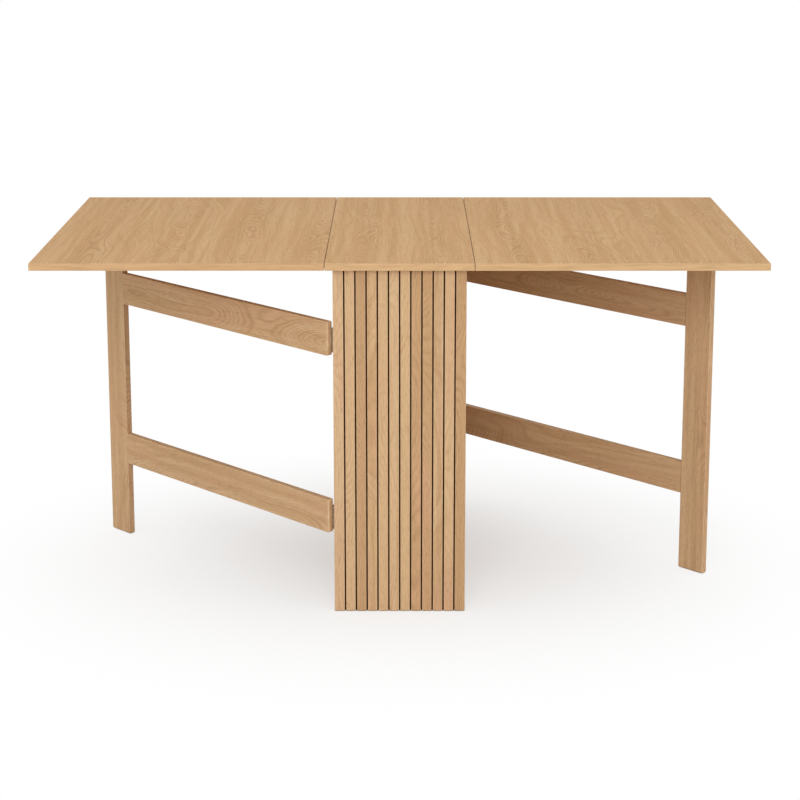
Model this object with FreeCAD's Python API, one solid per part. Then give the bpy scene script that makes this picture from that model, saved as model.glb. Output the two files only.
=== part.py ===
import FreeCAD, Part
import os
from collections import namedtuple

from FreeCAD import Placement, Rotation, Vector

# A drop-leaf table on a slatted column, with a swing-out gate under each leaf.
# The leaves are raised and the gates stand open. Millimetres and degrees, +Z up, +X along the table.
# The origin is on the floor, under the middle of the top.
# The right and rear pieces are the left and front ones after a half turn about the vertical axis.

# Table
TABLE_LENGTH = 1500.0
TABLE_DEPTH = 800.0
TABLE_HEIGHT = 750.0
TOP_THICKNESS = 15.0
TOP_EDGE_ROUND = 0.8
SEAM_GAP = 1.2

# Slatted end panels, and what joins them
END_OVERHANG = 18.0
PANEL_WIDTH = 273.0
SLAT_COUNT = 12
SLAT_THICKNESS = 5.0
SLAT_GROOVE = 3.0
SLAT_ROUND = 1.5
BACKING_THICKNESS = 27.0
SPINE_THICKNESS = 18.0
SPINE_FLOOR_GAP = 60.0
BATTEN_WIDTH = 30.0
BATTEN_HEIGHT = 30.0
BATTEN_SCREW_COUNT = 3

# Gates
GATE_THICKNESS = 15.0
GATE_EDGE_ROUND = 1.5
GATE_LEG_WIDTH = 66.0
GATE_OPEN_ANGLE = 45.0
GATE_TOP_CLEARANCE = 0.5
GATE_END_SETBACK = 0.5
RAIL_HEIGHT = 71.5
RAIL_END_ROUND = 4.0
RAIL_PAST_PIVOT = 2.0
UPPER_RAIL_DROP = 111.0
LOWER_RAIL_RISE = 172.5

# Gate hinges, one on each rail
GATE_HINGE_LENGTH = 50.0
GATE_HINGE_BELOW_CENTRE = 5.0
GATE_HINGE_FROM_SLATS = 9.5
GATE_FLAP_THICKNESS = 1.4
GATE_FLAP_GAP = 0.2
GATE_FLAP_EDGE = 1.5
GATE_KNUCKLE_RADIUS = 3.0
GATE_HINGE_SCREWS = 2

# Leaf hinges, three under each seam
LEAF_HINGE_LENGTH = 60.0
LEAF_HINGE_FROM_LEG = 35.0
LEAF_FLAP_REACH = 25.0
LEAF_FLAP_THICKNESS = 1.5
LEAF_KNUCKLE_RADIUS = 2.8
LEAF_HINGE_SCREWS = 3
LEAF_HANG_CLEARANCE = 1.2

# What both kinds of hinge share
KNUCKLE_COUNT = 5
KNUCKLE_GAP = 0.3
KNUCKLE_CLEARANCE = 0.4
PIN_RADIUS = 1.3
PIN_CLEARANCE = 0.05
PIN_HEAD_HEIGHT = 0.8
PIN_HEAD_SETBACK = 0.5

# Screws and dowels
SCREW_HEAD_RADIUS = 3.0
SCREW_HEAD_DEPTH = 1.3
SCREW_SHANK_RADIUS = 1.5
SCREW_POINT_LENGTH = 3.0
SCREW_TIP_COVER = 4.5
DOWEL_RADIUS = 4.0
DOWEL_DEPTH = 20.0
DOWEL_COVER = 7.0
RAIL_DOWEL_SPREAD = 36.0
SPINE_DOWEL_COUNT = 3
TOP_DOWEL_SPREAD = 200.0

# Gate stops and glides
STOP_LENGTH = 44.0
STOP_THICKNESS = 14.0
STOP_HEIGHT = 18.0
STOP_ROUND = 2.0
STOP_CLEARANCE = 0.3
STOP_SCREW_SPREAD = 24.0
GLIDE_HEIGHT = 1.2
GLIDE_ROUND = 0.5
GLIDE_NAIL_RADIUS = 1.2
GLIDE_NAIL_LENGTH = 12.0
PANEL_GLIDE_RADIUS = 8.0
PANEL_GLIDE_INSET = 30.0
LEG_GLIDE_RADIUS = 5.5
LEG_GLIDE_INSET = 14.0

# Heights
UNDERSIDE = TABLE_HEIGHT - TOP_THICKNESS
UPPER_RAIL_LOW = UNDERSIDE - UPPER_RAIL_DROP - RAIL_HEIGHT
RAIL_LOWS = (UPPER_RAIL_LOW, LOWER_RAIL_RISE)
GATE_HINGE_LIFT = (RAIL_HEIGHT - GATE_HINGE_LENGTH) / 2 - GATE_HINGE_BELOW_CENTRE
LEG_TOP = UNDERSIDE - GATE_TOP_CLEARANCE

# Depths, measured from the middle of the table to the front
SLAT_FACE = TABLE_DEPTH / 2 - END_OVERHANG
BACKING_FACE = SLAT_FACE - SLAT_THICKNESS
BACKING_INSIDE = BACKING_FACE - BACKING_THICKNESS
PIVOT_DEPTH = BACKING_FACE - GATE_HINGE_FROM_SLATS

# The gate's own frame has its hinge axis on Z and runs along X. Y goes out from the column.
PANEL_SIDE = PANEL_WIDTH / 2
HINGE_OFFSET = GATE_FLAP_THICKNESS + GATE_FLAP_GAP / 2
PIVOT_SIDE = PANEL_SIDE + HINGE_OFFSET
GATE_FACES = (HINGE_OFFSET, HINGE_OFFSET + GATE_THICKNESS)
GATE_MIDDLE = sum(GATE_FACES) / 2
GATE_REACH = PIVOT_DEPTH + SLAT_FACE - GATE_END_SETBACK
LEG_INNER = GATE_REACH - GATE_LEG_WIDTH
LEG_MIDDLE = (LEG_INNER + GATE_REACH) / 2
GATE_FLAP_REACH = BACKING_THICKNESS - GATE_HINGE_FROM_SLATS - GATE_FLAP_EDGE

# A leaf that hangs just clears its folded gate, and that sets the seam.
LEAF_PIN_DROP = LEAF_KNUCKLE_RADIUS + KNUCKLE_CLEARANCE
SEAM_SIDE = PIVOT_SIDE + GATE_FACES[1] + LEAF_HANG_CLEARANCE - LEAF_PIN_DROP
LEAF_HINGE_SPACING = LEG_INNER - PIVOT_DEPTH - LEAF_HINGE_FROM_LEG - LEAF_HINGE_LENGTH / 2
LEAF_HINGE_PLACES = (-LEAF_HINGE_SPACING, 0.0, LEAF_HINGE_SPACING)

# Butt hinges. The plates seat at a distance from the pin and are screwed to boards of a thickness.
Hinge = namedtuple("Hinge", "length radius reach seat thickness board screws")
GATE_HINGE = Hinge(
    GATE_HINGE_LENGTH,
    GATE_KNUCKLE_RADIUS,
    GATE_FLAP_REACH,
    HINGE_OFFSET,
    GATE_FLAP_THICKNESS,
    GATE_THICKNESS,
    GATE_HINGE_SCREWS,
)
LEAF_HINGE = Hinge(
    LEAF_HINGE_LENGTH,
    LEAF_KNUCKLE_RADIUS,
    LEAF_FLAP_REACH,
    LEAF_PIN_DROP,
    LEAF_FLAP_THICKNESS,
    TOP_THICKNESS,
    LEAF_HINGE_SCREWS,
)

FORWARD = Vector(1, 0, 0)
OUTWARD = Vector(0, 1, 0)
UP = Vector(0, 0, 1)
ORIGIN = Vector(0, 0, 0)

GATE_PIVOT = Vector(-PIVOT_SIDE, -PIVOT_DEPTH, 0)
FOLDED_GATE = Placement(GATE_PIVOT, Rotation(UP, 90))
OPEN_GATE = Placement(GATE_PIVOT, Rotation(UP, 90 + GATE_OPEN_ANGLE))


def block(x_range, y_range, z_range):
    """A board between three pairs of limits."""
    low = Vector(x_range[0], y_range[0], z_range[0])
    size = [limits[1] - limits[0] for limits in (x_range, y_range, z_range)]
    return Part.makeBox(*size, low)


def placed(shape, placement):
    """A copy of the shape, carried from its own frame to the table's."""
    moved = shape.copy()
    moved.Placement = placement.multiply(moved.Placement)
    return moved


def half_turn(shape):
    """The matching piece on the opposite side of the table."""
    return placed(shape, Placement(ORIGIN, Rotation(UP, 180)))


def both_sides(shapes):
    """The shapes and their half-turned copies, as one group."""
    return Part.makeCompound(shapes + [half_turn(shape) for shape in shapes])


def rounded(shape, radius, test):
    """The shape with a radius on each edge whose two ends both pass the test."""
    edges = [edge for edge in shape.Edges if all(test(corner.Point) for corner in edge.Vertexes)]
    return shape.makeFillet(radius, edges)


def eased(board, radius):
    """The board with all its edges rounded."""
    return board.makeFillet(radius, board.Edges)


def near(value, target):
    return abs(value - target) < Part.Precision.confusion()


def spread(count, length):
    """Evenly spaced places along a length, half a space in from each end."""
    return [length * (index + 0.5) / count for index in range(count)]


def drilled(shape, cutters):
    """The shape with the pieces that sit in it cut out."""
    return shape.cut(Part.makeCompound(cutters))


def screw(head, direction, length):
    """A countersunk wood screw. Its flat head lies at the given point and it drives along the direction."""
    neck = head + direction * SCREW_HEAD_DEPTH
    shank_length = length - SCREW_HEAD_DEPTH - SCREW_POINT_LENGTH
    cone = Part.makeCone(SCREW_HEAD_RADIUS, SCREW_SHANK_RADIUS, SCREW_HEAD_DEPTH, head, direction)
    shank = Part.makeCylinder(SCREW_SHANK_RADIUS, shank_length, neck, direction)
    point_start = neck + direction * shank_length
    point = Part.makeCone(SCREW_SHANK_RADIUS, 0, SCREW_POINT_LENGTH, point_start, direction)
    return cone.fuse([shank, point])


def glide(x, y, radius):
    """A nail-on glide: a flat disc on the floor with a softened rim, and its nail."""
    disc = Part.makeCylinder(radius, GLIDE_HEIGHT, Vector(x, y, 0))
    disc = rounded(disc, GLIDE_ROUND, lambda point: near(point.z, 0))
    nail = Part.makeCylinder(GLIDE_NAIL_RADIUS, GLIDE_NAIL_LENGTH, Vector(x, y, GLIDE_HEIGHT))
    return disc.fuse(nail)


def knuckle_ranges(hinge, first):
    """The stretches of a hinge's length that every second knuckle takes, from the first one on."""
    step = hinge.length / KNUCKLE_COUNT
    starts = [index * step for index in range(first, KNUCKLE_COUNT, 2)]
    return [(start + KNUCKLE_GAP / 2, start + step - KNUCKLE_GAP / 2) for start in starts]


def hinge_flap(hinge, first):
    """One half of a butt hinge: a plate with its knuckles. The pin is on Z, and the plate runs along X
    and seats against a plane of constant Y. It is slotted for the knuckles of the other half."""
    sheet = (hinge.seat - hinge.thickness, hinge.seat)
    plate = block((0, hinge.reach), sheet, (KNUCKLE_GAP / 2, hinge.length - KNUCKLE_GAP / 2))
    slot_reach = (0, hinge.radius + KNUCKLE_CLEARANCE)
    slots = [
        block(slot_reach, sheet, (low - KNUCKLE_GAP, high + KNUCKLE_GAP))
        for low, high in knuckle_ranges(hinge, 1 - first)
    ]
    knuckles = [
        Part.makeCylinder(hinge.radius, high - low, UP * low)
        for low, high in knuckle_ranges(hinge, first)
    ]
    bore = Part.makeCylinder(PIN_RADIUS + PIN_CLEARANCE, hinge.length)
    flap = drilled(plate, slots).fuse(knuckles).removeSplitter()
    return drilled(flap, [bore] + hinge_screws(hinge))


def hinge_pin(hinge):
    """A pin on Z, with a flat head resting on the knuckle at each end."""
    shaft = Part.makeCylinder(PIN_RADIUS, hinge.length)
    heads = [
        Part.makeCylinder(hinge.radius - PIN_HEAD_SETBACK, PIN_HEAD_HEIGHT, UP * level)
        for level in (KNUCKLE_GAP / 2 - PIN_HEAD_HEIGHT, hinge.length - KNUCKLE_GAP / 2)
    ]
    return shaft.fuse(heads).removeSplitter()


def hinge_screws(hinge):
    """The screws of one flap, driven through it into its board."""
    across = (hinge.radius + hinge.reach) / 2
    length = hinge.thickness + hinge.board - SCREW_TIP_COVER
    levels = spread(hinge.screws, hinge.length)
    return [screw(Vector(across, hinge.seat - hinge.thickness, level), OUTWARD, length) for level in levels]


def hinge_cove(hinge):
    """The hollow that clears the knuckles and the heads of the pin."""
    end = PIN_HEAD_HEIGHT + KNUCKLE_CLEARANCE
    return Part.makeCylinder(hinge.radius + KNUCKLE_CLEARANCE, hinge.length + 2 * end, UP * -end)


def slats():
    """The front panel's slats, from left to right, with grooves of one width between them."""
    module = PANEL_WIDTH / SLAT_COUNT
    made = []
    for index in range(SLAT_COUNT):
        left = -PANEL_SIDE + index * module + (SLAT_GROOVE / 2 if index > 0 else 0)
        right = -PANEL_SIDE + (index + 1) * module - (SLAT_GROOVE / 2 if index < SLAT_COUNT - 1 else 0)
        slat = block((left, right), (-SLAT_FACE, -BACKING_FACE), (GLIDE_HEIGHT, UNDERSIDE))
        made.append(rounded(slat, SLAT_ROUND, lambda point: near(point.y, -SLAT_FACE)))
    return made


def top_board(x_range):
    """A board of the table top."""
    depth = (-TABLE_DEPTH / 2, TABLE_DEPTH / 2)
    return eased(block(x_range, depth, (UNDERSIDE, TABLE_HEIGHT)), TOP_EDGE_ROUND)


def gate_leg():
    """The gate's leg, from its glides to just under the leaf, in the gate's own frame."""
    return eased(block((LEG_INNER, GATE_REACH), GATE_FACES, (GLIDE_HEIGHT, LEG_TOP)), GATE_EDGE_ROUND)


def gate_hinge_lift(rail_low):
    """The place of a rail's hinge along the axis of the gate."""
    return Placement(UP * (rail_low + GATE_HINGE_LIFT), Rotation())


def gate_rail(low):
    """A rail of the gate, in the gate's own frame. It butts against the leg, and its other end is
    rounded in plan and hollowed round the knuckles of its hinge."""
    rail = block((-RAIL_PAST_PIVOT, LEG_INNER), GATE_FACES, (low, low + RAIL_HEIGHT))
    rail = rounded(rail, RAIL_END_ROUND, lambda point: near(point.x, -RAIL_PAST_PIVOT))
    long_edges = [
        edge
        for edge in rail.Edges
        if near(edge.BoundBox.ZLength, 0) and not near(edge.BoundBox.XMin, LEG_INNER)
    ]
    rail = rail.makeFillet(GATE_EDGE_ROUND, long_edges)
    return rail.cut(placed(hinge_cove(GATE_HINGE), gate_hinge_lift(low)))


def rail_dowels(low):
    """The dowels between one rail and the leg, in the gate's own frame."""
    middle = low + RAIL_HEIGHT / 2
    levels = (middle - RAIL_DOWEL_SPREAD / 2, middle + RAIL_DOWEL_SPREAD / 2)
    starts = [Vector(LEG_INNER - DOWEL_DEPTH, GATE_MIDDLE, level) for level in levels]
    return [Part.makeCylinder(DOWEL_RADIUS, 2 * DOWEL_DEPTH, start, FORWARD) for start in starts]


nodes = {}


def keep(name, shape):
    nodes[name] = shape


def keep_pair(name, shapes):
    """Keeps a group as the left piece, and its half-turned copy as the right one."""
    group = shapes[0] if len(shapes) == 1 else Part.makeCompound(shapes)
    keep("left_" + name, group)
    keep("right_" + name, half_turn(group))


# Gate hinges. The fixed flaps lie on the edges of the backing boards, the moving ones on the rails.
gate_lifts = [gate_hinge_lift(low) for low in RAIL_LOWS]
gate_moving_flaps = [placed(hinge_flap(GATE_HINGE, 1), lift) for lift in gate_lifts]
gate_screws = [placed(each, lift) for lift in gate_lifts for each in hinge_screws(GATE_HINGE)]
fixed_side = [placed(hinge_flap(GATE_HINGE, 0), lift) for lift in gate_lifts]
gate_fixed_flaps = [placed(flap.mirror(ORIGIN, OUTWARD), FOLDED_GATE) for flap in fixed_side]
gate_fixed_screws = [placed(each.mirror(ORIGIN, OUTWARD), FOLDED_GATE) for each in gate_screws]
gate_pins = [placed(hinge_pin(GATE_HINGE), FOLDED_GATE.multiply(lift)) for lift in gate_lifts]
gate_coves = [placed(hinge_cove(GATE_HINGE), FOLDED_GATE.multiply(lift)) for lift in gate_lifts]

# Gates, built in their own frame and swung open
gate_dowels = [dowel for low in RAIL_LOWS for dowel in rail_dowels(low)]
leg_glides = [
    glide(along, GATE_MIDDLE, LEG_GLIDE_RADIUS)
    for along in (LEG_INNER + LEG_GLIDE_INSET, GATE_REACH - LEG_GLIDE_INSET)
]
gate_pieces = {
    "gate_leg": [drilled(gate_leg(), gate_dowels + leg_glides)],
    "gate_upper_rail": [drilled(gate_rail(UPPER_RAIL_LOW), gate_dowels + gate_screws)],
    "gate_lower_rail": [drilled(gate_rail(LOWER_RAIL_RISE), gate_dowels + gate_screws)],
    "gate_dowels": gate_dowels,
    "gate_hinge_moving_flaps": gate_moving_flaps,
    "gate_screws": gate_screws,
    "gate_glides": leg_glides,
}
for piece_name, pieces in gate_pieces.items():
    keep_pair(piece_name, [placed(piece, OPEN_GATE) for piece in pieces])

# Leaf hinges. In the hinge's own frame Y is up, and the moving plate runs out under the leaf.
under_seam = [
    Placement(
        Vector(-SEAM_SIDE, place - LEAF_HINGE_LENGTH / 2, UNDERSIDE - LEAF_PIN_DROP),
        Rotation(-FORWARD, UP, OUTWARD),
    )
    for place in LEAF_HINGE_PLACES
]
leaf_screw_set = hinge_screws(LEAF_HINGE)
fixed_screw_set = [each.mirror(ORIGIN, FORWARD) for each in leaf_screw_set]
fixed_leaf_flap = hinge_flap(LEAF_HINGE, 0).mirror(ORIGIN, FORWARD)
leaf_moving_flaps = [placed(hinge_flap(LEAF_HINGE, 1), seam) for seam in under_seam]
leaf_fixed_flaps = [placed(fixed_leaf_flap, seam) for seam in under_seam]
leaf_pins = [placed(hinge_pin(LEAF_HINGE), seam) for seam in under_seam]
leaf_moving_screws = [placed(each, seam) for seam in under_seam for each in leaf_screw_set]
leaf_fixed_screws = [placed(each, seam) for seam in under_seam for each in fixed_screw_set]

# Gate stops, on the undersides of the leaves beside the open legs
stop_near = GATE_FACES[1] + STOP_CLEARANCE
stop_low = UNDERSIDE - STOP_HEIGHT
stop_along = (LEG_MIDDLE - STOP_LENGTH / 2, LEG_MIDDLE + STOP_LENGTH / 2)
stop_across = (stop_near, stop_near + STOP_THICKNESS)
stop_heads = [
    Vector(along, sum(stop_across) / 2, stop_low)
    for along in (LEG_MIDDLE - STOP_SCREW_SPREAD / 2, LEG_MIDDLE + STOP_SCREW_SPREAD / 2)
]
stop_screw_length = STOP_HEIGHT + TOP_THICKNESS - SCREW_TIP_COVER
stop_screws = [screw(head, UP, stop_screw_length) for head in stop_heads]
stop_block = block(stop_along, stop_across, (stop_low, UNDERSIDE))
stop_block = rounded(stop_block, STOP_ROUND, lambda point: near(point.z, stop_low))
keep_pair("gate_stop", [placed(drilled(stop_block, stop_screws), OPEN_GATE)])

# Leaves
leaf_screws = leaf_moving_screws + [placed(each, OPEN_GATE) for each in stop_screws]
leaf_range = (-TABLE_LENGTH / 2, -SEAM_SIDE - SEAM_GAP / 2)
keep_pair("leaf_board", [drilled(top_board(leaf_range), leaf_screws)])
keep_pair("leaf_hinge_moving_flaps", leaf_moving_flaps)
keep_pair("leaf_screws", leaf_screws)

# End panels: slats on a dark backing board
panel_middle = -(BACKING_FACE + BACKING_INSIDE) / 2
spine_low = GLIDE_HEIGHT + SPINE_FLOOR_GAP
spine_dowels = [
    Part.makeCylinder(
        DOWEL_RADIUS,
        DOWEL_DEPTH + BACKING_THICKNESS - DOWEL_COVER,
        Vector(0, -BACKING_FACE + DOWEL_COVER, spine_low + level),
        OUTWARD,
    )
    for level in spread(SPINE_DOWEL_COUNT, UNDERSIDE - spine_low)
]
top_dowels = [
    Part.makeCylinder(
        DOWEL_RADIUS,
        DOWEL_DEPTH + TOP_THICKNESS - DOWEL_COVER,
        Vector(side, panel_middle, UNDERSIDE - DOWEL_DEPTH),
    )
    for side in (-TOP_DOWEL_SPREAD / 2, TOP_DOWEL_SPREAD / 2)
]
panel_glides = [
    glide(side, panel_middle, PANEL_GLIDE_RADIUS)
    for side in (-PANEL_SIDE + PANEL_GLIDE_INSET, PANEL_SIDE - PANEL_GLIDE_INSET)
]
backing_depth = (-BACKING_FACE, -BACKING_INSIDE)
backing = block((-PANEL_SIDE, PANEL_SIDE), backing_depth, (GLIDE_HEIGHT, UNDERSIDE))
backing = drilled(backing, spine_dowels + top_dowels + panel_glides + gate_coves + gate_fixed_screws)
keep("front_backing_board", backing)
keep("rear_backing_board", half_turn(backing))
for number, slat in enumerate(slats(), start=1):
    keep(f"front_slat_{number:02d}", slat)
    keep(f"rear_slat_{number:02d}", half_turn(slat))

# Spine between the end panels, and a batten on each side of it that holds the centre top
column_dowels = both_sides(spine_dowels + top_dowels)
spine_length = (-BACKING_INSIDE, BACKING_INSIDE)
spine = block((-SPINE_THICKNESS / 2, SPINE_THICKNESS / 2), spine_length, (spine_low, UNDERSIDE))
keep("spine_board", spine.cut(column_dowels))

batten_low = UNDERSIDE - BATTEN_HEIGHT
batten_side = (-SPINE_THICKNESS / 2 - BATTEN_WIDTH, -SPINE_THICKNESS / 2)
batten_heads = [
    Vector(sum(batten_side) / 2, along - BACKING_INSIDE, batten_low)
    for along in spread(BATTEN_SCREW_COUNT, 2 * BACKING_INSIDE)
]
batten_screw_length = BATTEN_HEIGHT + TOP_THICKNESS - SCREW_TIP_COVER
batten_screws = [screw(head, UP, batten_screw_length) for head in batten_heads]
batten = block(batten_side, spine_length, (batten_low, UNDERSIDE))
keep_pair("top_batten", [drilled(batten, batten_screws)])

# Centre top, and what is shared by both sides of the column
column_screws = both_sides(batten_screws + leaf_fixed_screws + gate_fixed_screws)
centre_range = (-SEAM_SIDE + SEAM_GAP / 2, SEAM_SIDE - SEAM_GAP / 2)
keep("centre_top", top_board(centre_range).cut(column_dowels).cut(column_screws))
keep("column_dowels", column_dowels)
keep("column_screws", column_screws)
keep("column_glides", both_sides(panel_glides))
keep("leaf_hinge_fixed_flaps", both_sides(leaf_fixed_flaps))
keep("leaf_hinge_pins", both_sides(leaf_pins))
keep("gate_hinge_fixed_flaps", both_sides(gate_fixed_flaps))
keep("gate_hinge_pins", both_sides(gate_pins))

os.makedirs("parts", exist_ok=True)
for node_name, node_shape in nodes.items():
    node_shape.exportStep(os.path.join("parts", node_name + ".step"))
print(len(nodes), "nodes")
print("seam at", SEAM_SIDE, "pivot at", PIVOT_SIDE, PIVOT_DEPTH, "gate reach", GATE_REACH)
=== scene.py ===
# %% [markdown]
# # A butterfly folding table in oak
# The table has a narrow fixed top on a slatted column, two wide leaves and two gates that carry
# them. Every board, hinge and pin is already here at its real size, because the construction model
# is loaded as a fixed frame. This lesson dresses that frame: it makes the finishes, turns the
# screws into real wood screws, and sets up a small photo studio. The frame comes first, since
# every later step takes its sizes from it.

# %% Load the frame
import math

import bpy
import numpy as np
from mathutils import Matrix, Vector


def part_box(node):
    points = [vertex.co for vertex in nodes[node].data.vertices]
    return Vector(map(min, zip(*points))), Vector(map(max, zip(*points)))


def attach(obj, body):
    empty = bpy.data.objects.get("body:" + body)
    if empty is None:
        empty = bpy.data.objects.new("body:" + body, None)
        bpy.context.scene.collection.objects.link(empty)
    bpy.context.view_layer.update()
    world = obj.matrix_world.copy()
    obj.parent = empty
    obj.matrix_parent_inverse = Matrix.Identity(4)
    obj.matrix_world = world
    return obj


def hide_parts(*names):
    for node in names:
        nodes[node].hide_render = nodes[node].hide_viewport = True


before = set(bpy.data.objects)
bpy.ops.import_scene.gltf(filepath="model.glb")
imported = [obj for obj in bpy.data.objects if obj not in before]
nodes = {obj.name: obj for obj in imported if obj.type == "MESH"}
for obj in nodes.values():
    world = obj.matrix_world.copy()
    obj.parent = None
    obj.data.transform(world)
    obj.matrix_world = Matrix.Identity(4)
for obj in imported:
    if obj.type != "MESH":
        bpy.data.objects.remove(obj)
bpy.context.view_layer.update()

# %% [markdown]
# ## Colours as they look
# A colour picker shows colours the way a screen does, but a renderer counts light, and twice the
# light does not look twice as bright. One could type the light values straight in, but nobody can
# picture them. So the colours of this table are written as they look on a screen, and one small
# function turns them into light.

# %% Turn screen colours into light
SCREEN_WHITE = 255
DARK_END = 0.04045
DARK_SLOPE = 12.92
CURVE_LIFT = 0.055
CURVE_POWER = 2.4


def seen(red, green, blue):
    """A colour as a screen shows it, from 0 to 255, as light: each channel is divided by 255 and
    bent by the screen's own curve, a straight line for the darkest colours and a power of the
    lifted value for the others. Full cover is added as a fourth value."""
    screen = np.array([red, green, blue]) / SCREEN_WHITE
    curve = ((screen + CURVE_LIFT) / (1 + CURVE_LIFT)) ** CURVE_POWER
    light = np.where(screen <= DARK_END, screen / DARK_SLOPE, curve)
    return (*light.tolist(), 1.0)


OAK_PALE = seen(208, 174, 135)
OAK_DEEP = seen(192, 154, 114)
OAK_ROSY = seen(204, 161, 126)
OAK_HONEY = seen(203, 155, 88)
OAK_PORE = seen(120, 84, 54)
# Pale oak for pale tints and for rounded edges, where it is partly rubbed oil and partly a painted
# highlight.
OAK_WORN_AND_HIGHLIT = seen(222, 191, 152)
print("pale oak as light:", [round(value, 3) for value in OAK_PALE])

# %% [markdown]
# ## A short way to mix a finish
# A finish in Blender is a tree of nodes, and each node has sockets that take a number or another
# node's result. It can be wired by hand in the editor, but then nobody can read it back. The class
# below holds one finish while it is mixed, with a plain word for each thing a finisher does: turn
# the board, add streaks, mix, stain.

# %% A finish in the making


class Finish:
    """A material or a world in the making, with short words for the nodes that mix it. Its shader
    is the node that Blender starts it with, the only one that has a result."""

    def __init__(self, name, shelf=bpy.data.materials):
        self.material = shelf.new(name)
        self.material.use_nodes = True
        self.tree = self.material.node_tree
        self.shader = next(node for node in self.tree.nodes if node.outputs)
        self.places = self.tree.nodes.new("ShaderNodeTexCoord").outputs

    def join(self, socket, value):
        """Feeds a socket with another node's result, or sets it to a plain value."""
        if isinstance(value, bpy.types.NodeSocket):
            self.tree.links.new(value, socket)
        else:
            socket.default_value = value

    def node(self, kind, inputs, output=0, **settings):
        """Adds a node with its settings, feeds its inputs and gives back one of its results."""
        made = self.tree.nodes.new("ShaderNode" + kind)
        for setting, value in settings.items():
            setattr(made, setting, value)
        for socket, value in dict(inputs).items():
            self.join(made.inputs[socket], value)
        return made.outputs[output]

    def sum(self, operation, *values):
        """One sum with plain numbers, such as MULTIPLY or FLOOR."""
        return self.node("Math", enumerate(values), operation=operation)

    def vectors(self, operation, *values):
        """One sum with places or directions."""
        return self.node("VectorMath", enumerate(values), operation=operation)

    def parts(self, vector):
        """The X, Y and Z of a place or direction, by name."""
        return self.node("SeparateXYZ", {0: vector}).node.outputs

    def place(self, x, y, z):
        """A place or direction from its X, Y and Z."""
        return self.node("CombineXYZ", {"X": x, "Y": y, "Z": z})

    def turned(self, turn, start=(0, 0, 0)):
        """Places on the piece, turned about X, Y and Z and then moved."""
        inputs = {"Vector": self.places["Object"], "Rotation": turn, "Location": start}
        return self.node("Mapping", inputs)

    def patches(self, where, size, detail=1.0):
        """Cloudy patches from 0 to 1, each about as large as the size along X, Y and Z."""
        scaled = self.vectors("DIVIDE", where, size)
        return self.node("TexNoise", {"Vector": scaled, "Scale": 1.0, "Detail": detail}, "Fac")

    def rise(self, value, low, high, top=1.0):
        """Rises smoothly from 0 to the top while the value goes from low to high."""
        limits = {"Value": value, "From Min": low, "From Max": high, "To Max": top}
        return self.node("MapRange", limits, interpolation_type="SMOOTHSTEP")

    def mix(self, share, first, second):
        """The first colour with a share of the second one mixed in. A Mix node counts its sockets
        through all kinds of data: 6 and 7 take colours, and result 2 is a colour."""
        return self.node("Mix", {0: share, 6: first, 7: second}, 2, data_type="RGBA")

    def mix_places(self, share, first, second):
        """The same for places, which go in at 4 and 5 and come out as result 1."""
        return self.node("Mix", {0: share, 4: first, 5: second}, 1, data_type="VECTOR")

    def bumps(self, height, depth):
        """Gives the surface a relief of a depth in metres."""
        relief = self.node("Bump", {"Height": height, "Distance": depth, "Strength": 1.0})
        self.join(self.shader.inputs["Normal"], relief)

    def set(self, **inputs):
        """Sets inputs of the shader, with _ for the spaces in their names."""
        for name, value in inputs.items():
            self.join(self.shader.inputs[name.replace("_", " ")], value)


print("a finish can be mixed")

# %% [markdown]
# ## Oak, as a solid
# Oak shows cathedral arches where a board is cut along the tree, straight lines beside them, and
# rings on its ends. Flat pictures of wood miss that, and they also repeat. Here the oak is a solid
# instead: each point asks how far it lies from the heart of its tree, a line that wanders up and
# down along the grain. Equal distances are year rings, and every face of a board shows its own
# right cut through them.

# %% Year rings
HEART_SPACING = 0.155
HEART_WANDER = 0.22
HEART_LEVEL = 0.42
WANDER_SIZE = (0.16, 0.45, 0.16)
SWAY = 0.05
SWAY_LEVEL = 0.5
SWAY_SIZE = (0.25, 0.5, 0.25)
RING_WIDTH = 0.0046
WOBBLE = 0.8
WOBBLE_SIZE = (0.012, 0.10, 0.012)


def year_rings(finish, plank):
    """Counts year rings from the heart. Their number is a distance in ring widths: the root of two
    squares, how far the point lies to the side of the nearest heart, and how deep the heart runs
    below it. Slow patches let the heart sway and wander along the grain, and small ones make the
    rings wobble. The distance to the side is given back as well."""
    place = finish.parts(plank)
    sway = finish.sum("SUBTRACT", finish.patches(plank, SWAY_SIZE), SWAY_LEVEL)
    swayed = finish.sum("MULTIPLY_ADD", sway, SWAY, place["X"])
    aside = finish.sum("PINGPONG", swayed, HEART_SPACING / 2)
    wander = finish.sum("SUBTRACT", finish.patches(plank, WANDER_SIZE), HEART_LEVEL)
    below = finish.sum("MULTIPLY_ADD", wander, HEART_WANDER, place["Z"])
    squares = finish.sum("MULTIPLY_ADD", aside, aside, finish.sum("MULTIPLY", below, below))
    distance = finish.sum("DIVIDE", finish.sum("SQRT", squares), RING_WIDTH)
    wobble = finish.sum("MULTIPLY", finish.patches(plank, WOBBLE_SIZE, detail=2.0), WOBBLE)
    return finish.sum("ADD", distance, wobble), aside


print(f"rings {RING_WIDTH * 1000:.1f} mm apart")

# %% [markdown]
# ## Rubbed edges with a painted highlight, and small knots
# Hands rub the oil off the rounded edges, and the wood turns a bit paler there. The same paler
# edges also stand for the light that rounded edges catch: a painted highlight. An edge could be
# painted by hand, board by board. But on an edge, the surface faces between two of the board's own
# directions, and the finish can ask for that. Here and there a twig has left a small knot, so knots
# are strewn through the whole tree, and a board shows those that it happens to cut.

# %% Wear and knots
WEAR_AND_HIGHLIGHT_SIZE = (0.05, 0.05, 0.05)
WEAR_AND_HIGHLIGHT_PATCHES = (0.2, 0.6)
WEAR_AND_HIGHLIGHT_MOST = 0.5
FLAT_TO_ROUND = (0.985, 0.85)
KNOT_SPACING = (0.20, 0.45, 0.20)
KNOT_REACH = (0.018, 0.006)


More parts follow.
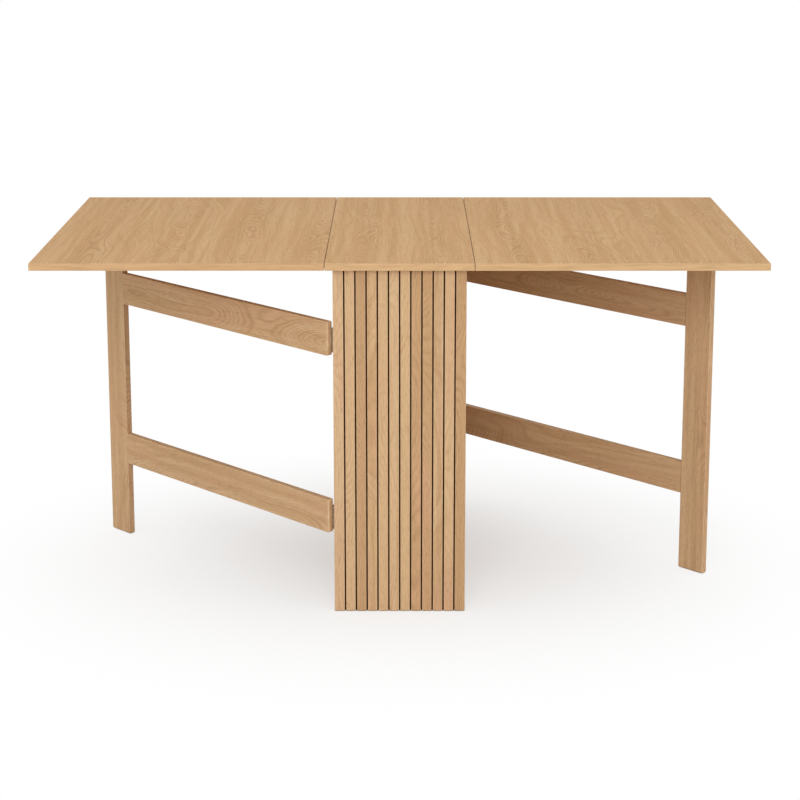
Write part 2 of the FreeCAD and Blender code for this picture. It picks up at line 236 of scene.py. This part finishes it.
def oak_wear_and_highlight(finish, plank, turn):
    """A share that is 0 on flat faces and grows on rounded edges, where no part of the surface's
    direction, turned with the board, is close to 1. It comes and goes along the edge. It pales the
    edges for rubbed oil and also paints on them the highlight that a rounded edge catches."""
    normal = {"Vector": finish.places["Normal"], "Rotation": turn}
    facing = finish.node("Mapping", normal, vector_type="VECTOR")
    part = finish.parts(finish.vectors("ABSOLUTE", facing))
    flat = finish.sum("MAXIMUM", finish.sum("MAXIMUM", part["X"], part["Y"]), part["Z"])
    patchy = finish.rise(finish.patches(plank, WEAR_AND_HIGHLIGHT_SIZE, detail=2.0), *WEAR_AND_HIGHLIGHT_PATCHES, WEAR_AND_HIGHLIGHT_MOST)
    return finish.sum("MULTIPLY", finish.rise(flat, *FLAT_TO_ROUND), patchy)


def pin_knots(finish, plank):
    """Small knots at random places: 1 close to the nearest of them, and 0 elsewhere."""
    scaled = finish.vectors("DIVIDE", plank, KNOT_SPACING)
    return finish.rise(finish.node("TexVoronoi", {"Vector": scaled, "Scale": 1.0}), *KNOT_REACH)


# The edge paleness is partly wear and partly a painted highlight.
print("edges wear in patches of", WEAR_AND_HIGHLIGHT_SIZE[0], "m")

# %% [markdown]
# ## The oiled surface
# Each ring ends in a dark line, which shows best in the arches over the heart, and good and bad
# years give pale and dark bands. Between them oak has fine fibres, open pores like short pencil
# strokes, and drifts of honey and rosy wood. A varnish would mirror the room, but this table has a
# dull oil finish, so its surface is rough and reflects little.

# %% Colour, pores and oil
BAND_RINGS = 2.4
HALF_RING = 0.5
LINE_WIDTH = 0.32
LINE_SHARE = 0.09
ARCH_SHARE = 0.14
ARCH_REACH = 0.06
STREAK_SIZE = (0.016, 0.55, 0.016)
STREAK_WEIGHT = 0.6
BAND_WEIGHT = 0.4
DEEP_TO_PALE = (0.37, 0.63)
ROSY_SIZE = (0.045, 0.28, 0.045)
ROSY_PATCHES = (0.40, 0.70)
FIBRE_SIZE = (0.0015, 0.10, 0.0015)
FIBRE_TONES = (0.45, 0.85)
FIBRE_SHARE = 0.2
PORE_SIZE = (0.0008, 0.014, 0.0008)
PORE_EDGE = (0.58, 0.70)
PORE_SHARE = 0.25
KNOT_SHARE = 0.7
PALE_TINTS = (0.2, 1.0)
FIBRE_RELIEF = 0.5
GRAIN_DEPTH = 0.0002
OIL_ROUGHNESS = 0.62
GROOVE_ROUGHNESS = 0.2
OIL_SHEEN = 0.06


def oak(name, plank_of, turn, stained=None):
    """Oiled oak. A plank has its grain along Y and its broad face across X, a tint that makes it
    paler, a share of honey in its oil and a share of rosy wood in its patches. Bands of rings and
    long streaks drift between deep and pale. Ring lines, fibres, pores and knots are dark. A stain
    may change the colour in the end."""
    finish = Finish(name)
    plank, tint, honey, rosy = plank_of(finish)
    rings, aside = year_rings(finish, plank)
    in_ring = finish.sum("PINGPONG", rings, HALF_RING)
    ring_end = finish.rise(in_ring, HALF_RING - LINE_WIDTH, HALF_RING)
    line_share = finish.sum("ADD", finish.rise(aside, ARCH_REACH, 0.0, ARCH_SHARE), LINE_SHARE)
    years = {"W": rings, "Scale": 1 / BAND_RINGS, "Detail": 2.0}
    bands = finish.node("TexNoise", years, "Fac", noise_dimensions="1D")
    streaks = finish.patches(plank, STREAK_SIZE, detail=3.0)
    drifts = finish.patches(plank, ROSY_SIZE, detail=2.0)
    fibres = finish.patches(plank, FIBRE_SIZE, detail=3.0)
    pores = finish.rise(finish.patches(plank, PORE_SIZE), *PORE_EDGE)

    tinted = finish.sum("MULTIPLY_ADD", streaks, STREAK_WEIGHT, tint)
    tones = finish.sum("ADD", tinted, finish.sum("MULTIPLY", bands, BAND_WEIGHT))
    colour = finish.mix(finish.rise(tones, *DEEP_TO_PALE), OAK_DEEP, OAK_PALE)
    colour = finish.mix(finish.rise(drifts, *ROSY_PATCHES, rosy), colour, OAK_ROSY)
    colour = finish.mix(honey, colour, OAK_HONEY)
    for dark in (
        finish.sum("MULTIPLY", ring_end, line_share),
        finish.rise(fibres, *FIBRE_TONES, FIBRE_SHARE),
        finish.sum("MULTIPLY", pores, PORE_SHARE),
        finish.sum("MULTIPLY", pin_knots(finish, plank), KNOT_SHARE),
    ):
        colour = finish.mix(dark, colour, OAK_PORE)
    # Rounded edges turn paler: partly rubbed oil, partly a painted highlight.
    worn_and_highlit = oak_wear_and_highlight(finish, plank, turn)
    paleness_and_highlight = finish.sum("MAXIMUM", worn_and_highlit, finish.rise(tint, *PALE_TINTS))
    colour = finish.mix(paleness_and_highlight, colour, OAK_WORN_AND_HIGHLIT)
    if stained:
        colour = stained(finish, colour)

    grooves = finish.sum("MULTIPLY_ADD", fibres, FIBRE_RELIEF, pores)
    finish.bumps(finish.sum("SUBTRACT", 1.0, grooves), GRAIN_DEPTH)
    roughness = finish.sum("MULTIPLY_ADD", grooves, GROOVE_ROUGHNESS, OIL_ROUGHNESS)
    finish.set(Base_Color=colour, Roughness=roughness, Specular_IOR_Level=OIL_SHEEN)
    return finish.material


print(f"oil finish: roughness from {OIL_ROUGHNESS}")

# %% [markdown]
# ## Which way the grain runs
# A maker cuts each piece so that its grain runs along it. The oak above has its grain along Y and
# its arches across X, so each piece only has to say which of its own directions these are. Angles
# would do, but they are hard to read for rails that stand at 45 degrees, so two directions are
# given and the angles are worked out. The heart is then brought to the middle of the piece, and
# another stretch of the tree is chosen for each.

# %% Turn a plank to its piece
DEPTHWISE, LENGTHWISE, UPRIGHT = (0, 1, 0), (1, 0, 0), (0, 0, 1)
GATEWISE = (-1, 1, 0)
BOARD_ROSY = 0.5


def grain(along, across):
    """The turn that brings a piece's length to Y and its width to X: those two directions and the
    one square to both are the rows of the turning matrix."""
    length, width = Vector(along).normalized(), Vector(across).normalized()
    return Matrix((width, length, width.cross(length))).to_euler()


def from_heart(turn, name, aside, along):
    """Where a plank starts, so that the middle of a piece lies beside the heart and along the tree
    as given."""
    low, high = (Vector(corner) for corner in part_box(name))
    return Vector((aside, along, 0)) - turn.to_matrix() @ ((low + high) / 2)


def board_plank(turn, start):
    """A plank turned to its piece, with no tint, no honey and some rosy wood."""
    return lambda finish: (finish.turned(turn, start), 0.0, 0.0, BOARD_ROSY)


def dress(material, *names):
    """Gives pieces of the frame their finish."""
    for name in names:
        nodes[name].material_slots[0].material = material


print("a rail's turn:", [round(math.degrees(angle)) for angle in grain(GATEWISE, UPRIGHT)])

# %% [markdown]
# ## The table top
# The fixed top and both leaves are veneered boards whose grain runs from front to back, and their
# front and back edges are covered with a pale strip whose grain runs along the edge. Two materials
# could be painted on the faces of one board, but the board's mesh is fixed here. So one finish
# looks at the direction in which the surface faces, and turns the grain where the edge strip
# begins.

# %% Lay the grain of the top boards
EDGE_FACING = 0.6
STRIP_TINT = 0.3
STRIP_FROM_HEART = 0.045
STRIP_STRETCH = (1.0, 0.2, 1.0)
TOP_HONEY = 0.25
TOP_BOARDS = {
    "left_leaf_board": (0.03, 3.1),
    "centre_top": (0.07, 8.3),
    "right_leaf_board": (0.05, 11.2),
}
TOP_GRAIN = grain(DEPTHWISE, LENGTHWISE)
STRIP_GRAIN = grain(LENGTHWISE, UPRIGHT)


def top_plank(name, aside, along):
    """Grain along Y on the faces, and along X where the surface faces forwards or back. There it is
    drawn out, as edge strips are cut from straight wood."""

    def plank_of(finish):
        facing = finish.parts(finish.vectors("ABSOLUTE", finish.places["Normal"]))["Y"]
        on_edge = finish.sum("GREATER_THAN", facing, EDGE_FACING)
        board = finish.turned(TOP_GRAIN, from_heart(TOP_GRAIN, name, aside, along))
        strip_start = from_heart(STRIP_GRAIN, name, STRIP_FROM_HEART, along)
        strip = finish.vectors("MULTIPLY", finish.turned(STRIP_GRAIN, strip_start), STRIP_STRETCH)
        plank = finish.mix_places(on_edge, board, strip)
        return plank, finish.sum("MULTIPLY", on_edge, STRIP_TINT), TOP_HONEY, BOARD_ROSY

    return plank_of


for name, (aside, along) in TOP_BOARDS.items():
    dress(oak("oak_" + name, top_plank(name, aside, along), TOP_GRAIN), name)
print("top boards:", ", ".join(TOP_BOARDS))

# %% [markdown]
# ## The slats
# Both ends of the column are faced with narrow oak slats. Each was sawn from another place in the
# tree, so neighbours differ in tone. Twenty-four finishes would do, but one for each end is enough:
# it counts in which slat a point lies, rolls a die for that number, and moves the plank and its
# tone by the roll.

# %% Saw each slat from its own plank
SLAT_GRAIN = grain(UPRIGHT, LENGTHWISE)
SLAT_FROM_HEART = (0.004, 0.0, 0.0)
PLANK_SPREAD = (0.03, 9.0, 0.05)
SLAT_MIDDLE = 0.65
SLAT_TONES = 1.0
SLAT_HONEY = 0.12
HONEY_ROLLS = (0.3, 1.0)
SLAT_ROSY = 0.8
ROSY_ROLLS = (0.2, 0.9)
SLAT_ENDS = {"front": 1.5, "rear": 41.5}


def slat_plank(first_slat, step, seed):
    """Grain along Z. The number of the slat is the whole part of its place along X over the slats'
    step, counted from the first slat's own edge. Each slat is brought to the same place by the
    heart, and a die rolled for its number then moves its plank a little to the side, far along the
    tree and up or down, and sets its tone, honey and rosy wood."""
    start = from_heart(SLAT_GRAIN, first_slat, step / 2, seed)

    def plank_of(finish):
        row = finish.turned(SLAT_GRAIN, start)
        number = finish.sum("FLOOR", finish.sum("DIVIDE", finish.parts(row)["X"], step))
        thrown = {"W": finish.sum("ADD", number, seed)}
        die = finish.node("TexWhiteNoise", thrown, "Color", noise_dimensions="1D")
        own = finish.vectors("MULTIPLY_ADD", die, PLANK_SPREAD, SLAT_FROM_HEART)
        back = finish.place(finish.sum("MULTIPLY", number, -step), 0.0, 0.0)
        plank = finish.vectors("ADD", finish.vectors("ADD", row, back), own)
        roll = finish.parts(die)
        tint = finish.sum("MULTIPLY", finish.sum("SUBTRACT", roll["X"], SLAT_MIDDLE), SLAT_TONES)
        honey = finish.rise(roll["Y"], *HONEY_ROLLS, SLAT_HONEY)
        return plank, tint, honey, finish.rise(roll["Z"], *ROSY_ROLLS, SLAT_ROSY)

    return plank_of


for end, seed in SLAT_ENDS.items():
    row = sorted(name for name in nodes if name.startswith(end + "_slat_"))
    low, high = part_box(end + "_backing_board")
    step = (high.x - low.x) / len(row)
    dress(oak("oak_" + end + "_slats", slat_plank(row[0], step, seed), SLAT_GRAIN), *row)
    print(f"{len(row)} {end} slats, {step * 1000:.2f} mm apart")

# %% [markdown]
# ## The gates, and the oak inside
# Each gate is a leg with two rails: the leg's grain stands upright, and the rails' grain is level,
# at 45 degrees to the table. The stops under the leaves lie along the open gates. The spine between
# the end panels is an upright board, and the two battens beside it hold the fixed top. One plank
# would do for all, but then every piece would show the same arches, so each is cut from another
# place in the tree.

# %% Cut legs, rails, stops and battens
FRAME_BOARDS = {
    "gate_leg": (grain(UPRIGHT, GATEWISE), 0.045),
    "gate_upper_rail": (grain(GATEWISE, UPRIGHT), 0.0),
    "gate_lower_rail": (grain(GATEWISE, UPRIGHT), 0.035),
    "gate_stop": (grain(GATEWISE, UPRIGHT), 0.06),
    "top_batten": (grain(DEPTHWISE, LENGTHWISE), 0.06),
}
SPINE_GRAIN = grain(UPRIGHT, DEPTHWISE)
TREE_STEP = 2.19

for number, (piece, (turn, aside)) in enumerate(FRAME_BOARDS.items()):
    for side, name in enumerate(("left_" + piece, "right_" + piece)):
        start = from_heart(turn, name, aside, TREE_STEP * (2 * number + side))
        dress(oak("oak_" + name, board_plank(turn, start), turn), name)
spine_start = from_heart(SPINE_GRAIN, "spine_board", 0.0, -TREE_STEP)
dress(oak("oak_spine", board_plank(SPINE_GRAIN, spine_start), SPINE_GRAIN), "spine_board")
print("frame boards:", ", ".join(FRAME_BOARDS))

# %% [markdown]
# ## The dark grooves
# The slats are glued to a board veneered in oak, whose outer face was stained almost black first,
# so that the grooves read as clean dark lines. A flat black would look like a hole. A stain takes
# unevenly and lets some fibres show, so two dark browns are mixed in small felted patches, and only
# where the board faces outwards.

# %% Veneer and stain the backing boards
STAIN_DARK = seen(38, 18, 4)
STAIN_BROWN = seen(62, 34, 9)
FELT_SIZE = (0.0009, 0.0009, 0.004)
CLOUD_SIZE = (0.05, 0.05, 0.09)
BACKING_ENDS = {"front": (-1.0, 5.3), "rear": (1.0, 8.7)}


def outer_stain(side):
    """A stain for the face that looks along Y to the given side: fine felted fibres over slow
    patches."""

    def stained(finish, colour):
        where = finish.places["Object"]
        felt = finish.patches(where, FELT_SIZE, detail=3.0)
        cloud = finish.patches(where, CLOUD_SIZE, detail=2.0)
        stain = finish.mix(finish.sum("MULTIPLY", felt, cloud), STAIN_DARK, STAIN_BROWN)
        facing = finish.sum("MULTIPLY", finish.parts(finish.places["Normal"])["Y"], side)
        return finish.mix(finish.sum("GREATER_THAN", facing, EDGE_FACING), colour, stain)

    return stained


for end, (side, along) in BACKING_ENDS.items():
    name = end + "_backing_board"
    plank_of = board_plank(SLAT_GRAIN, from_heart(SLAT_GRAIN, name, 0.0, along))
    dress(oak("oak_" + name, plank_of, SLAT_GRAIN, outer_stain(side)), name)
print("backing boards:", ", ".join(BACKING_ENDS))

# %% [markdown]
# ## Hinges
# The hinges are rolled steel with a dull bronze tint. From the front they show only as thin lines
# beside the column, and from the sides as plates between gate and panel. A polished metal would
# turn black where it faces a dark corner, so this one is rough: the rollers have brushed it along
# its length, and slow stains change its colour.

# %% Finish the hinges
STEEL = seen(178, 160, 146)
STEEL_DULL = seen(142, 125, 112)
STEEL_STAIN_SIZE = (0.006, 0.006, 0.006)
STEEL_STAINS = (0.3, 0.7)
BRUSH_SIZE = (0.0004, 0.008, 0.0004)
BRUSH_ROUGHNESS = 0.25
STEEL_ROUGHNESS = 0.35
BRUSH_DEPTH = 0.00003


def rolled_steel():
    """Rolled steel: brush marks drawn out along Y, and slow stains in its colour."""
    finish = Finish("hinge_steel_rolled")
    where = finish.places["Object"]
    brushed = finish.patches(where, BRUSH_SIZE, detail=3.0)
    stains = finish.rise(finish.patches(where, STEEL_STAIN_SIZE, detail=3.0), *STEEL_STAINS)
    finish.set(Base_Color=finish.mix(stains, STEEL_DULL, STEEL), Metallic=1.0)
    finish.set(Roughness=finish.sum("MULTIPLY_ADD", brushed, BRUSH_ROUGHNESS, STEEL_ROUGHNESS))
    finish.bumps(brushed, BRUSH_DEPTH)
    return finish.material


hinges = [name for name in nodes if "hinge" in name]
dress(rolled_steel(), *hinges)
print(len(hinges), "hinge pieces finished")

# %% [markdown]
# ## Dowels and glides
# The dowels are beech, and the glides under the feet are moulded nylon. Both are hidden while the
# table stands, and a plain colour might do. They are seen when the table is turned over, though, so
# they get the flecks of beech and the fine skin of a moulding.

# %% Finish the dowels and glides
BEECH_PALE = seen(221, 187, 146)
BEECH_DEEP = seen(196, 152, 110)
FLECK_SIZE = (0.0012, 0.0012, 0.0012)
FLECK_TONES = (0.45, 0.7)
BEECH_ROUGHNESS = 0.8
FLECK_DEPTH = 0.0001
NYLON = seen(70, 62, 55)
NYLON_PALE = seen(84, 75, 67)
NYLON_CLOUD_SIZE = (0.004, 0.004, 0.004)
SKIN_SIZE = (0.0006, 0.0006, 0.0006)
SKIN_TONES = (0.1, 0.9)
NYLON_ROUGHNESS = 0.6
SKIN_DEPTH = 0.00005


def beech():
    """Beech: short brown flecks on a pale ground, along each axis alike, as the dowels lie all
    ways."""
    finish = Finish("beech_turned")
    flecks = finish.patches(finish.places["Object"], FLECK_SIZE, detail=2.0)
    finish.set(Base_Color=finish.mix(finish.rise(flecks, *FLECK_TONES), BEECH_PALE, BEECH_DEEP))
    finish.set(Roughness=finish.rise(flecks, 0.0, 1.0, BEECH_ROUGHNESS))
    finish.bumps(flecks, FLECK_DEPTH)
    return finish.material


def nylon():
    """Moulded nylon: a fine sparkle in its skin, and slightly cloudy."""
    finish = Finish("glide_nylon")
    where = finish.places["Object"]
    skin = finish.patches(where, SKIN_SIZE, detail=2.0)
    clouds = finish.patches(where, NYLON_CLOUD_SIZE, detail=2.0)
    finish.set(Base_Color=finish.mix(clouds, NYLON, NYLON_PALE))
    finish.set(Roughness=finish.rise(skin, *SKIN_TONES, NYLON_ROUGHNESS))
    finish.bumps(skin, SKIN_DEPTH)
    return finish.material


dress(beech(), *[name for name in nodes if name.endswith("dowels")])
dress(nylon(), *[name for name in nodes if name.endswith("glides")])
print("dowels and glides finished")

# %% [markdown]
# ## Wood screws
# The frame holds each screw as a plain peg with a cone for its head. A real one has a cross in its
# head and a thread on its shank. A modeller could cut the cross and wind the thread by hand. Both
# are just changes to a turned shape, though: around the axis, the cross lowers the head's face, and
# the thread swells the shank. So one surface does it, with a station along the profile and an angle
# as its two parameters.

# %% Shape one screw
HEAD_RADIUS = 0.003
HEAD_DEPTH = 0.0013
SHANK_RADIUS = 0.0015
THREAD_DEPTH = 0.0003
THREAD_PITCH = 0.0016
POINT_LENGTH = 0.003
CROSS_REACH = 0.0021
CROSS_WIDTH = 0.0006
CROSS_DEPTH = 0.0011
CROSS_WALL = 2.0
CROSS_END = 1.6
SPOKES = 24
FACE_ROWS = 9
ROWS_PER_TURN = 5
SAMPLE_LENGTH = 0.012


def screw_surface(length):
    """A screw with its head's face on Z = 0, driven along +Z. Its rows are rings of points.
    Head: rings grow to the head's radius, and sink by the cross's depth times two slopes, one that
    fades away from the nearer arm of the cross, and one that fades along the arm.
    Shank: the radius is the core plus the thread, which rises and falls once for each pitch and
    each turn, and all of it shrinks to nothing over the point."""
    angle = np.linspace(0, 2 * np.pi, SPOKES, endpoint=False)
    out = np.linspace(0, HEAD_RADIUS, FACE_ROWS)[1:, None]
    arm = np.minimum(abs(out * np.cos(angle)), abs(out * np.sin(angle)))
    wall = np.clip(CROSS_WALL - CROSS_WALL * arm / CROSS_WIDTH, 0, 1)
    sunk = CROSS_DEPTH * wall * np.clip(CROSS_END - CROSS_END * out / CROSS_REACH, 0, 1)
    turns = (length - HEAD_DEPTH) / THREAD_PITCH
    down = np.linspace(HEAD_DEPTH, length, int(turns * ROWS_PER_TURN))[:-1, None]
    wave = abs(((down / THREAD_PITCH - angle / (2 * np.pi)) % 1) * 2 - 1)
    taper = np.clip((length - down) / POINT_LENGTH, 0, 1)
    shank = (SHANK_RADIUS - THREAD_DEPTH * wave) * taper
    radius = np.concatenate([out + 0 * angle, shank])
    depth = np.concatenate([sunk, down + 0 * angle])
    return np.stack([radius * np.cos(angle), radius * np.sin(angle), depth], axis=-1)


def ring_sides(rows, columns):
    """Numbers points ring by ring, and gives them with the next point round each ring, and the
    faces between each ring and the next. On a tube whose rings run along its axis they point
    outwards."""
    ring = np.arange(rows * columns).reshape(rows, columns)
    after = np.roll(ring, -1, axis=1)
    sides = np.stack([ring[:-1], after[:-1], after[1:], ring[1:]], axis=-1).reshape(-1, 4)
    return ring, after, sides


def screw_faces(rows, columns):
    """The sides of a screw, and fans from its first and last rings to two poles, which are numbered
    after all the rings. All point outwards."""
    ring, after, sides = ring_sides(rows, columns)
    first, last = np.full(columns, rows * columns), np.full(columns, rows * columns + 1)
    head = np.stack([first, after[0], ring[0]], axis=-1)
    point = np.stack([last, ring[-1], after[-1]], axis=-1)
    return sides, np.concatenate([head, point])


sample = screw_surface(SAMPLE_LENGTH)
print(f"a {SAMPLE_LENGTH * 1000:.0f} mm screw has {len(sample)} rings of {SPOKES} points")

# %% [markdown]
# ## Where the screws are
# The screws lie where the frame's pegs lie. Their places could be typed in again, but then two
# lists would have to agree. The pegs of a node form separate islands of triangles, so each island
# is found, its long axis is the direction of the screw, and the end with the wider spread of points
# is its head.

# %% Find the pegs
PLACE_DIGITS = 7


def islands(node):
    """The separate solids in a node, as arrays of points. Points at one place share a number, and
    each triangle hands the lowest number among its corners to the others, until nothing changes."""
    mesh = nodes[node].data
    points = np.empty(len(mesh.vertices) * 3)
    mesh.vertices.foreach_get("co", points)
    mesh.calc_loop_triangles()
    corners = np.empty(len(mesh.loop_triangles) * 3, int)
    mesh.loop_triangles.foreach_get("vertices", corners)
    rounded = points.reshape(-1, 3).round(PLACE_DIGITS)
    places, shared = np.unique(rounded, axis=0, return_inverse=True)
    triangles = shared.reshape(-1)[corners].reshape(-1, 3)
    label = np.arange(len(places))
    while True:
        before = label.copy()
        np.minimum.at(label, triangles, label[triangles].min(axis=1)[:, None])
        label = label[label]
        if (label == before).all():
            return [places[label == number] for number in np.unique(label)]


def peg_axis(points):
    """A peg's head, direction and length. The direction is the one in which the points spread
    most, and it runs away from the end where they lie furthest from the axis."""
    middle = (points.max(axis=0) + points.min(axis=0)) / 2
    direction = np.linalg.svd(points - points.mean(axis=0))[2][0]
    along = (points - middle) @ direction
    off = np.linalg.norm(points - middle - along[:, None] * direction, axis=1)
    if along[off.argmax()] > 0:
        direction, along = -direction, -along
    return middle + along.min() * direction, direction, along.max() - along.min()


print(len(islands("column_screws")), "pegs in the column")

# %% [markdown]
# ## Every screw in its place
# The screws are plated with zinc, which starts bright and soon gets small dull blooms. They could
# be one object each, but there are dozens, and all the screws of a node move together. So the
# screws of a node become one piece, which rides on the same body as the pegs that it stands for.

# %% Put a screw on each peg
ZINC = seen(188, 186, 180)
ZINC_DULL = seen(158, 155, 148)
BLOOM_SIZE = (0.0012, 0.0012, 0.0012)
BLOOM_TONES = (0.3, 0.7)
ZINC_ROUGHNESS = 0.5
BLOOM_DEPTH = 0.00002


def plated_steel():
    """Zinc-plated steel: a bright skin with small dull blooms."""
    finish = Finish("screw_steel_plated")
    bloom = finish.patches(finish.places["Object"], BLOOM_SIZE, detail=3.0)
    colour = finish.mix(finish.rise(bloom, *BLOOM_TONES), ZINC, ZINC_DULL)
    finish.set(Base_Color=colour, Metallic=1.0)
    finish.set(Roughness=finish.rise(bloom, 0.0, 1.0, ZINC_ROUGHNESS))
    finish.bumps(bloom, BLOOM_DEPTH)
    return finish.material


def placed_screw(points):
    """A screw's rings and two poles where a peg was found, and its faces. The screw's own X and Y
    are any two directions square to its axis."""
    head, direction, length = peg_axis(points)
    square = np.linalg.svd(direction[None])[2]
    axes = np.array([square[1], np.cross(direction, square[1]), direction])
    rings = screw_surface(length)
    poles = np.array([[0, 0, CROSS_DEPTH], [0, 0, length]])
    screw = np.concatenate([rings.reshape(-1, 3), poles])
    return head + screw @ axes, screw_faces(*rings.shape[:2])


def screws_for(node, body, material):
    """All screws of a node as one piece that rides on its body."""
    points, faces, count = [], [], 0
    for peg in islands(node):
        screw, kinds = placed_screw(peg)
        faces += [face for kind in kinds for face in (kind + count).tolist()]
        points.append(screw)
        count += len(screw)
    mesh = bpy.data.meshes.new(node + "_threaded")
    mesh.from_pydata(np.concatenate(points), [], faces)
    mesh.materials.append(material)
    piece = bpy.data.objects.new(node + "_threaded", mesh)
    bpy.context.scene.collection.objects.link(piece)
    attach(piece, body)
    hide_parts(node)
    print(f"{piece.name}: {len(points)} screws, {len(faces)} faces")


plated = plated_steel()
screws_for("column_screws", "column", plated)
for side in ("left", "right"):
    screws_for(side + "_leaf_screws", side + "_leaf", plated)
    screws_for(side + "_gate_screws", side + "_gate", plated)

# %% [markdown]
# ## Floor and backdrop
# The photograph was made for a catalogue: the floor runs into a white backdrop with no edge, and
# only a faint shadow says where the table stands. A real studio sweeps a paper roll up the wall.
# Here a flat disc is enough. Near the table it is pale paint that takes shadows, and further out it
# fades to the white of the backdrop.

# %% Lay the floor
FLOOR_RADIUS = 30.0
FLOOR_RINGS = 12
FLOOR_SPOKES = 64
FLOOR_PAINT = seen(238, 238, 237)
FLOOR_ROUGHNESS = 0.9
WHITE = (1.0, 1.0, 1.0, 1.0)
SHADOW_MIDDLE = (0.0, -0.06, 0.0)
SHADOW_REACH = (1.08, 0.92, 1.0)
SHADOW_LIGHTENED = 0.45
CONTACT_REACH = 0.006
CONTACT_TONES = (0.2, 0.5)
CONTACT_RAYS = 4


def disc(radius, rings, spokes):
    """A flat disc: rings of points whose radius grows with the square of their number, with each
    ring's faces joined to the next, and one face in the middle."""
    angle = np.linspace(0, 2 * np.pi, spokes, endpoint=False)
    out = radius * np.linspace(0, 1, rings + 1)[1:, None] ** 2
    points = np.stack([out * np.cos(angle), out * np.sin(angle), 0 * out * angle], axis=-1)
    ring, _, sides = ring_sides(rings, spokes)
    return points.reshape(-1, 3), [ring[0].tolist()] + sides[:, ::-1].tolist()


def backdrop_rays(finish):
    """1 for rays that show the backdrop itself or its mirror image, and 0 for light that falls on
    things."""
    rays = finish.node("LightPath", {}).node.outputs
    shown = finish.sum("MAXIMUM", rays["Is Camera Ray"], rays["Is Glossy Ray"])
    return finish.sum("MAXIMUM", shown, rays["Is Transmission Ray"])


def floor_paint():
    """Pale paint whose shadow is lightened, except in narrow gaps under the table, and which turns
    to plain white away from the table."""
    finish = Finish("floor_paint")
    from_middle = finish.vectors("SUBTRACT", finish.places["Object"], SHADOW_MIDDLE)
    spread = finish.vectors("DIVIDE", from_middle, SHADOW_REACH)
    away = finish.node("VectorMath", {0: spread}, "Value", operation="LENGTH")
    fade = finish.rise(away, 0.0, 1.0, 1.0 - SHADOW_LIGHTENED)
    reach = {"Distance": CONTACT_REACH}
    gaps = finish.node("AmbientOcclusion", reach, "AO", samples=CONTACT_RAYS)
    open_floor = finish.rise(gaps, *CONTACT_TONES)
    lightened = finish.sum("MULTIPLY", open_floor, finish.sum("ADD", fade, SHADOW_LIGHTENED))
    share = finish.sum("MULTIPLY", backdrop_rays(finish), lightened)
    glow = finish.node("Emission", {"Color": WHITE, "Strength": 1.0})
    finish.set(Base_Color=FLOOR_PAINT, Roughness=FLOOR_ROUGHNESS, Specular_IOR_Level=0.0)
    both = finish.node("MixShader", {0: share, 1: finish.shader.outputs[0], 2: glow})
    finish.join(finish.tree.nodes["Material Output"].inputs["Surface"], both)
    return finish.material


floor_points, floor_faces = disc(FLOOR_RADIUS, FLOOR_RINGS, FLOOR_SPOKES)
floor_mesh = bpy.data.meshes.new("studio_floor")
floor_mesh.from_pydata(floor_points, [], floor_faces)
floor_mesh.materials.append(floor_paint())
floor = bpy.data.objects.new("studio_floor", floor_mesh)
bpy.context.scene.collection.objects.link(floor)
print(f"floor of {FLOOR_RADIUS:.0f} m radius")

# %% [markdown]
# ## Soft light
# A catalogue picture has light from all around, a large soft source above and another in front, so
# that the front panel is as bright as the top. Small lamps would draw hard shadows. The white room
# is the world's light, and large lamps hang above and stand around, the strongest in front.
# Together they are just strong enough for a colour to come out as it was written.

# %% Light the studio
ROOM_LIGHT = 0.55
LAMPS = {
    "overhead": {"at": (0.0, -0.3, 2.9), "size": 3.2, "power": 23.0},
    "front": {"at": (-0.4, -6.0, 3.4), "size": 3.6, "power": 185.0},
    "rear": {"at": (0.3, 5.0, 0.3), "size": 1.2, "power": 58.0},
    "left": {"at": (-3.4, -1.2, 0.5), "size": 2.0, "power": 13.0},
    "right": {"at": (3.4, -1.2, 0.7), "size": 2.0, "power": 16.0},
}
LAMP_TARGET = (0.0, 0.0, 0.5)


def room_light():
    """A plain world: white where it is seen, and a set strength where it lights things."""
    room = Finish("white_room", bpy.data.worlds)
    limits = {"Value": backdrop_rays(room), "To Min": ROOM_LIGHT, "To Max": 1.0}
    room.set(Color=WHITE, Strength=room.node("MapRange", limits))
    return room.material


def aim(lamp, place, target):
    """Puts a lamp at a place and turns its -Z to the target."""
    lamp.location = place
    lamp.rotation_euler = (Vector(target) - Vector(place)).to_track_quat("-Z", "Y").to_euler()


bpy.context.scene.world = room_light()
for name, lamp in LAMPS.items():
    light = bpy.data.lights.new(name, "AREA")
    light.size = lamp["size"]
    light.energy = lamp["power"]
    softbox = bpy.data.objects.new(name, light)
    softbox.visible_camera = False
    bpy.context.scene.collection.objects.link(softbox)
    aim(softbox, lamp["at"], LAMP_TARGET)
print("lamps:", ", ".join(LAMPS))

# %% [markdown]
# ## The camera
# The picture was taken from in front, a little above the table, with upright edges kept nearly
# upright. A view camera does that by sliding its lens down instead of tilting. A small slide is
# used here, and the rest is tilt, so that the table also stays in the picture when it is seen from
# other sides.

# %% Set up the camera
CAMERA_PLACE = (0.004, -4.302, 1.548)
CAMERA_TILT = 11.57
LENS = 88.8
LENS_SLIDE = (-0.002, -0.17)

camera = bpy.data.objects.new("camera", bpy.data.cameras.new("camera"))
camera.location = CAMERA_PLACE
camera.rotation_euler = (math.radians(90 - CAMERA_TILT), 0, 0)
camera.data.lens = LENS
camera.data.shift_x, camera.data.shift_y = LENS_SLIDE
bpy.context.scene.collection.objects.link(camera)
bpy.context.scene.camera = camera
bpy.context.scene.view_settings.view_transform = "Standard"
print(f"camera {-CAMERA_PLACE[1]:.2f} m in front, {LENS:.0f} mm lens")
